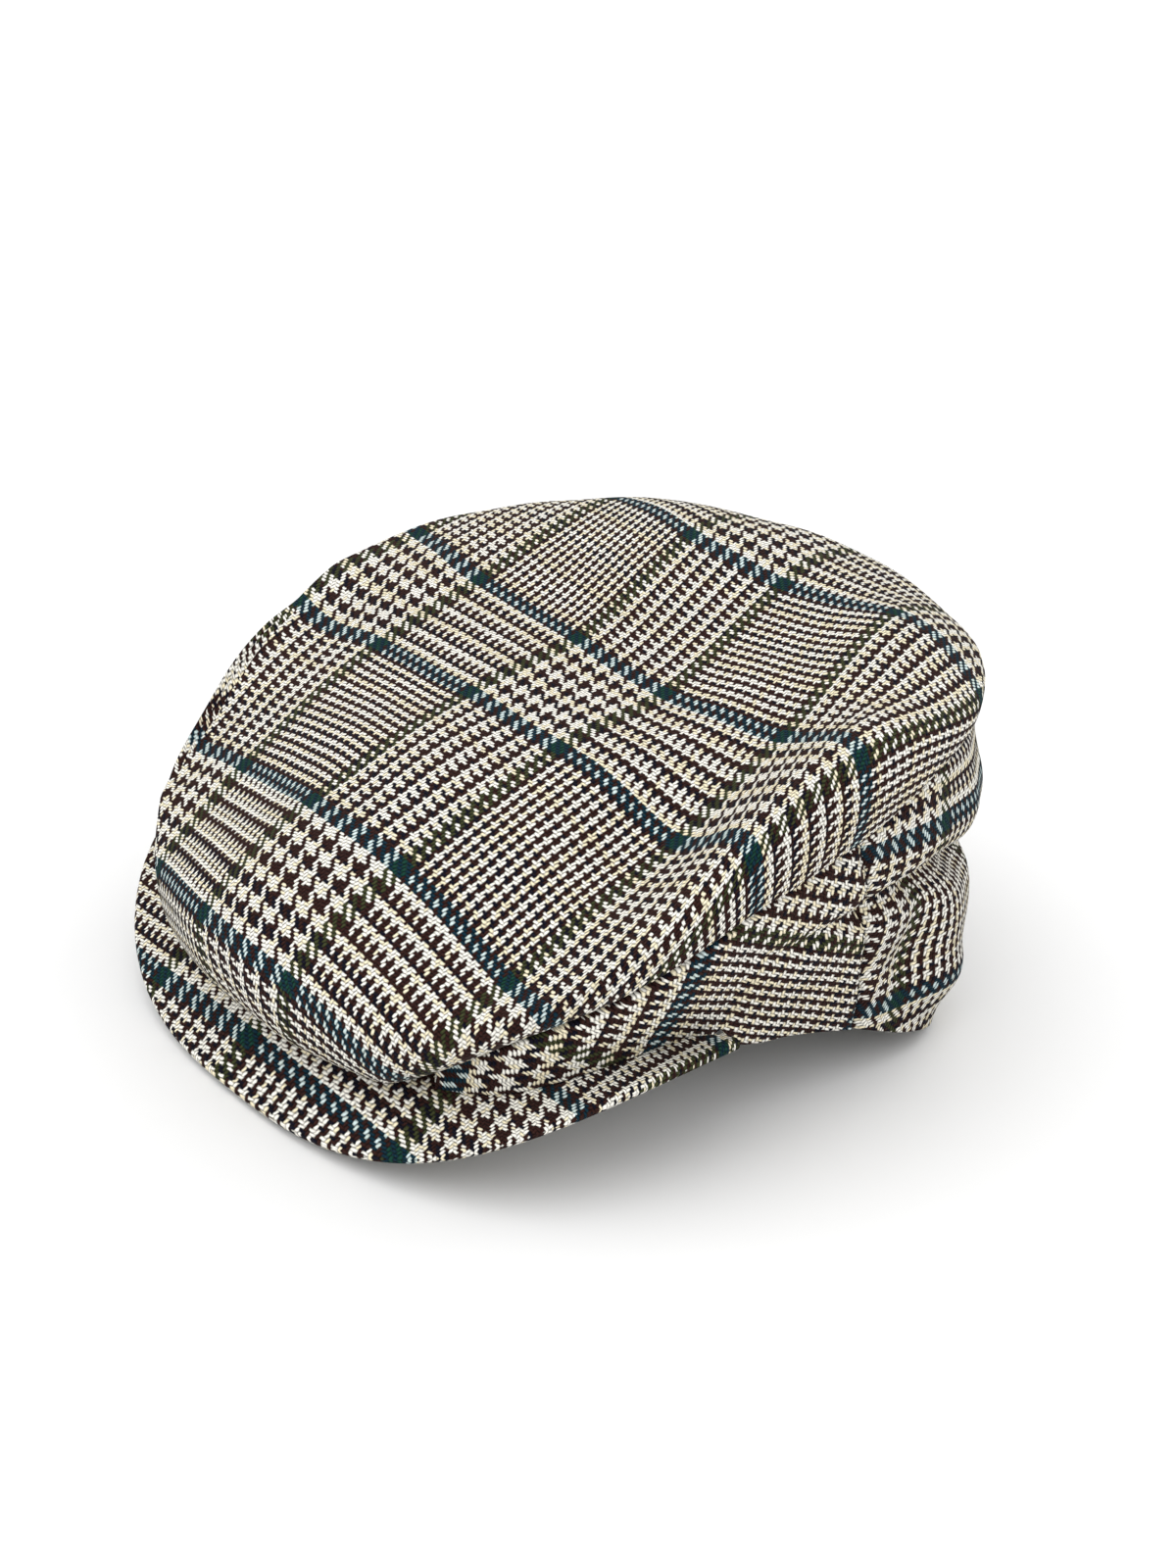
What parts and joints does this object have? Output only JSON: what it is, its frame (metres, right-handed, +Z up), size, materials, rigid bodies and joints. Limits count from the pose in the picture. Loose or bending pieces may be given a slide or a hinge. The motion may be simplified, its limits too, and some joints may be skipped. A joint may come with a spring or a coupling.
{
  "type": "flat cap",
  "caption": "Flat cap of checked tweed with a rolled one-piece top, side and back panels and a stiff peak; hollow underneath for the head.",
  "frame": {"origin": "middle of the cap's bounding box at the surface it rests on", "axes": "+Z up from that surface, -Y the way the peak points, +X the wearer's left"},
  "size_m": [0.214, 0.2264, 0.1195],
  "materials": {
    "tweed_top": "brushed wool",
    "tweed_sides": "brushed wool",
    "tweed_back": "brushed wool",
    "tweed_peak": "brushed wool"
  },
  "bodies": {
    "root": {"crown_top": "tweed_top", "side_left": "tweed_sides", "side_right": "tweed_sides", "back_panel": "tweed_back", "peak": "tweed_peak"}
  },
  "joints": []
}
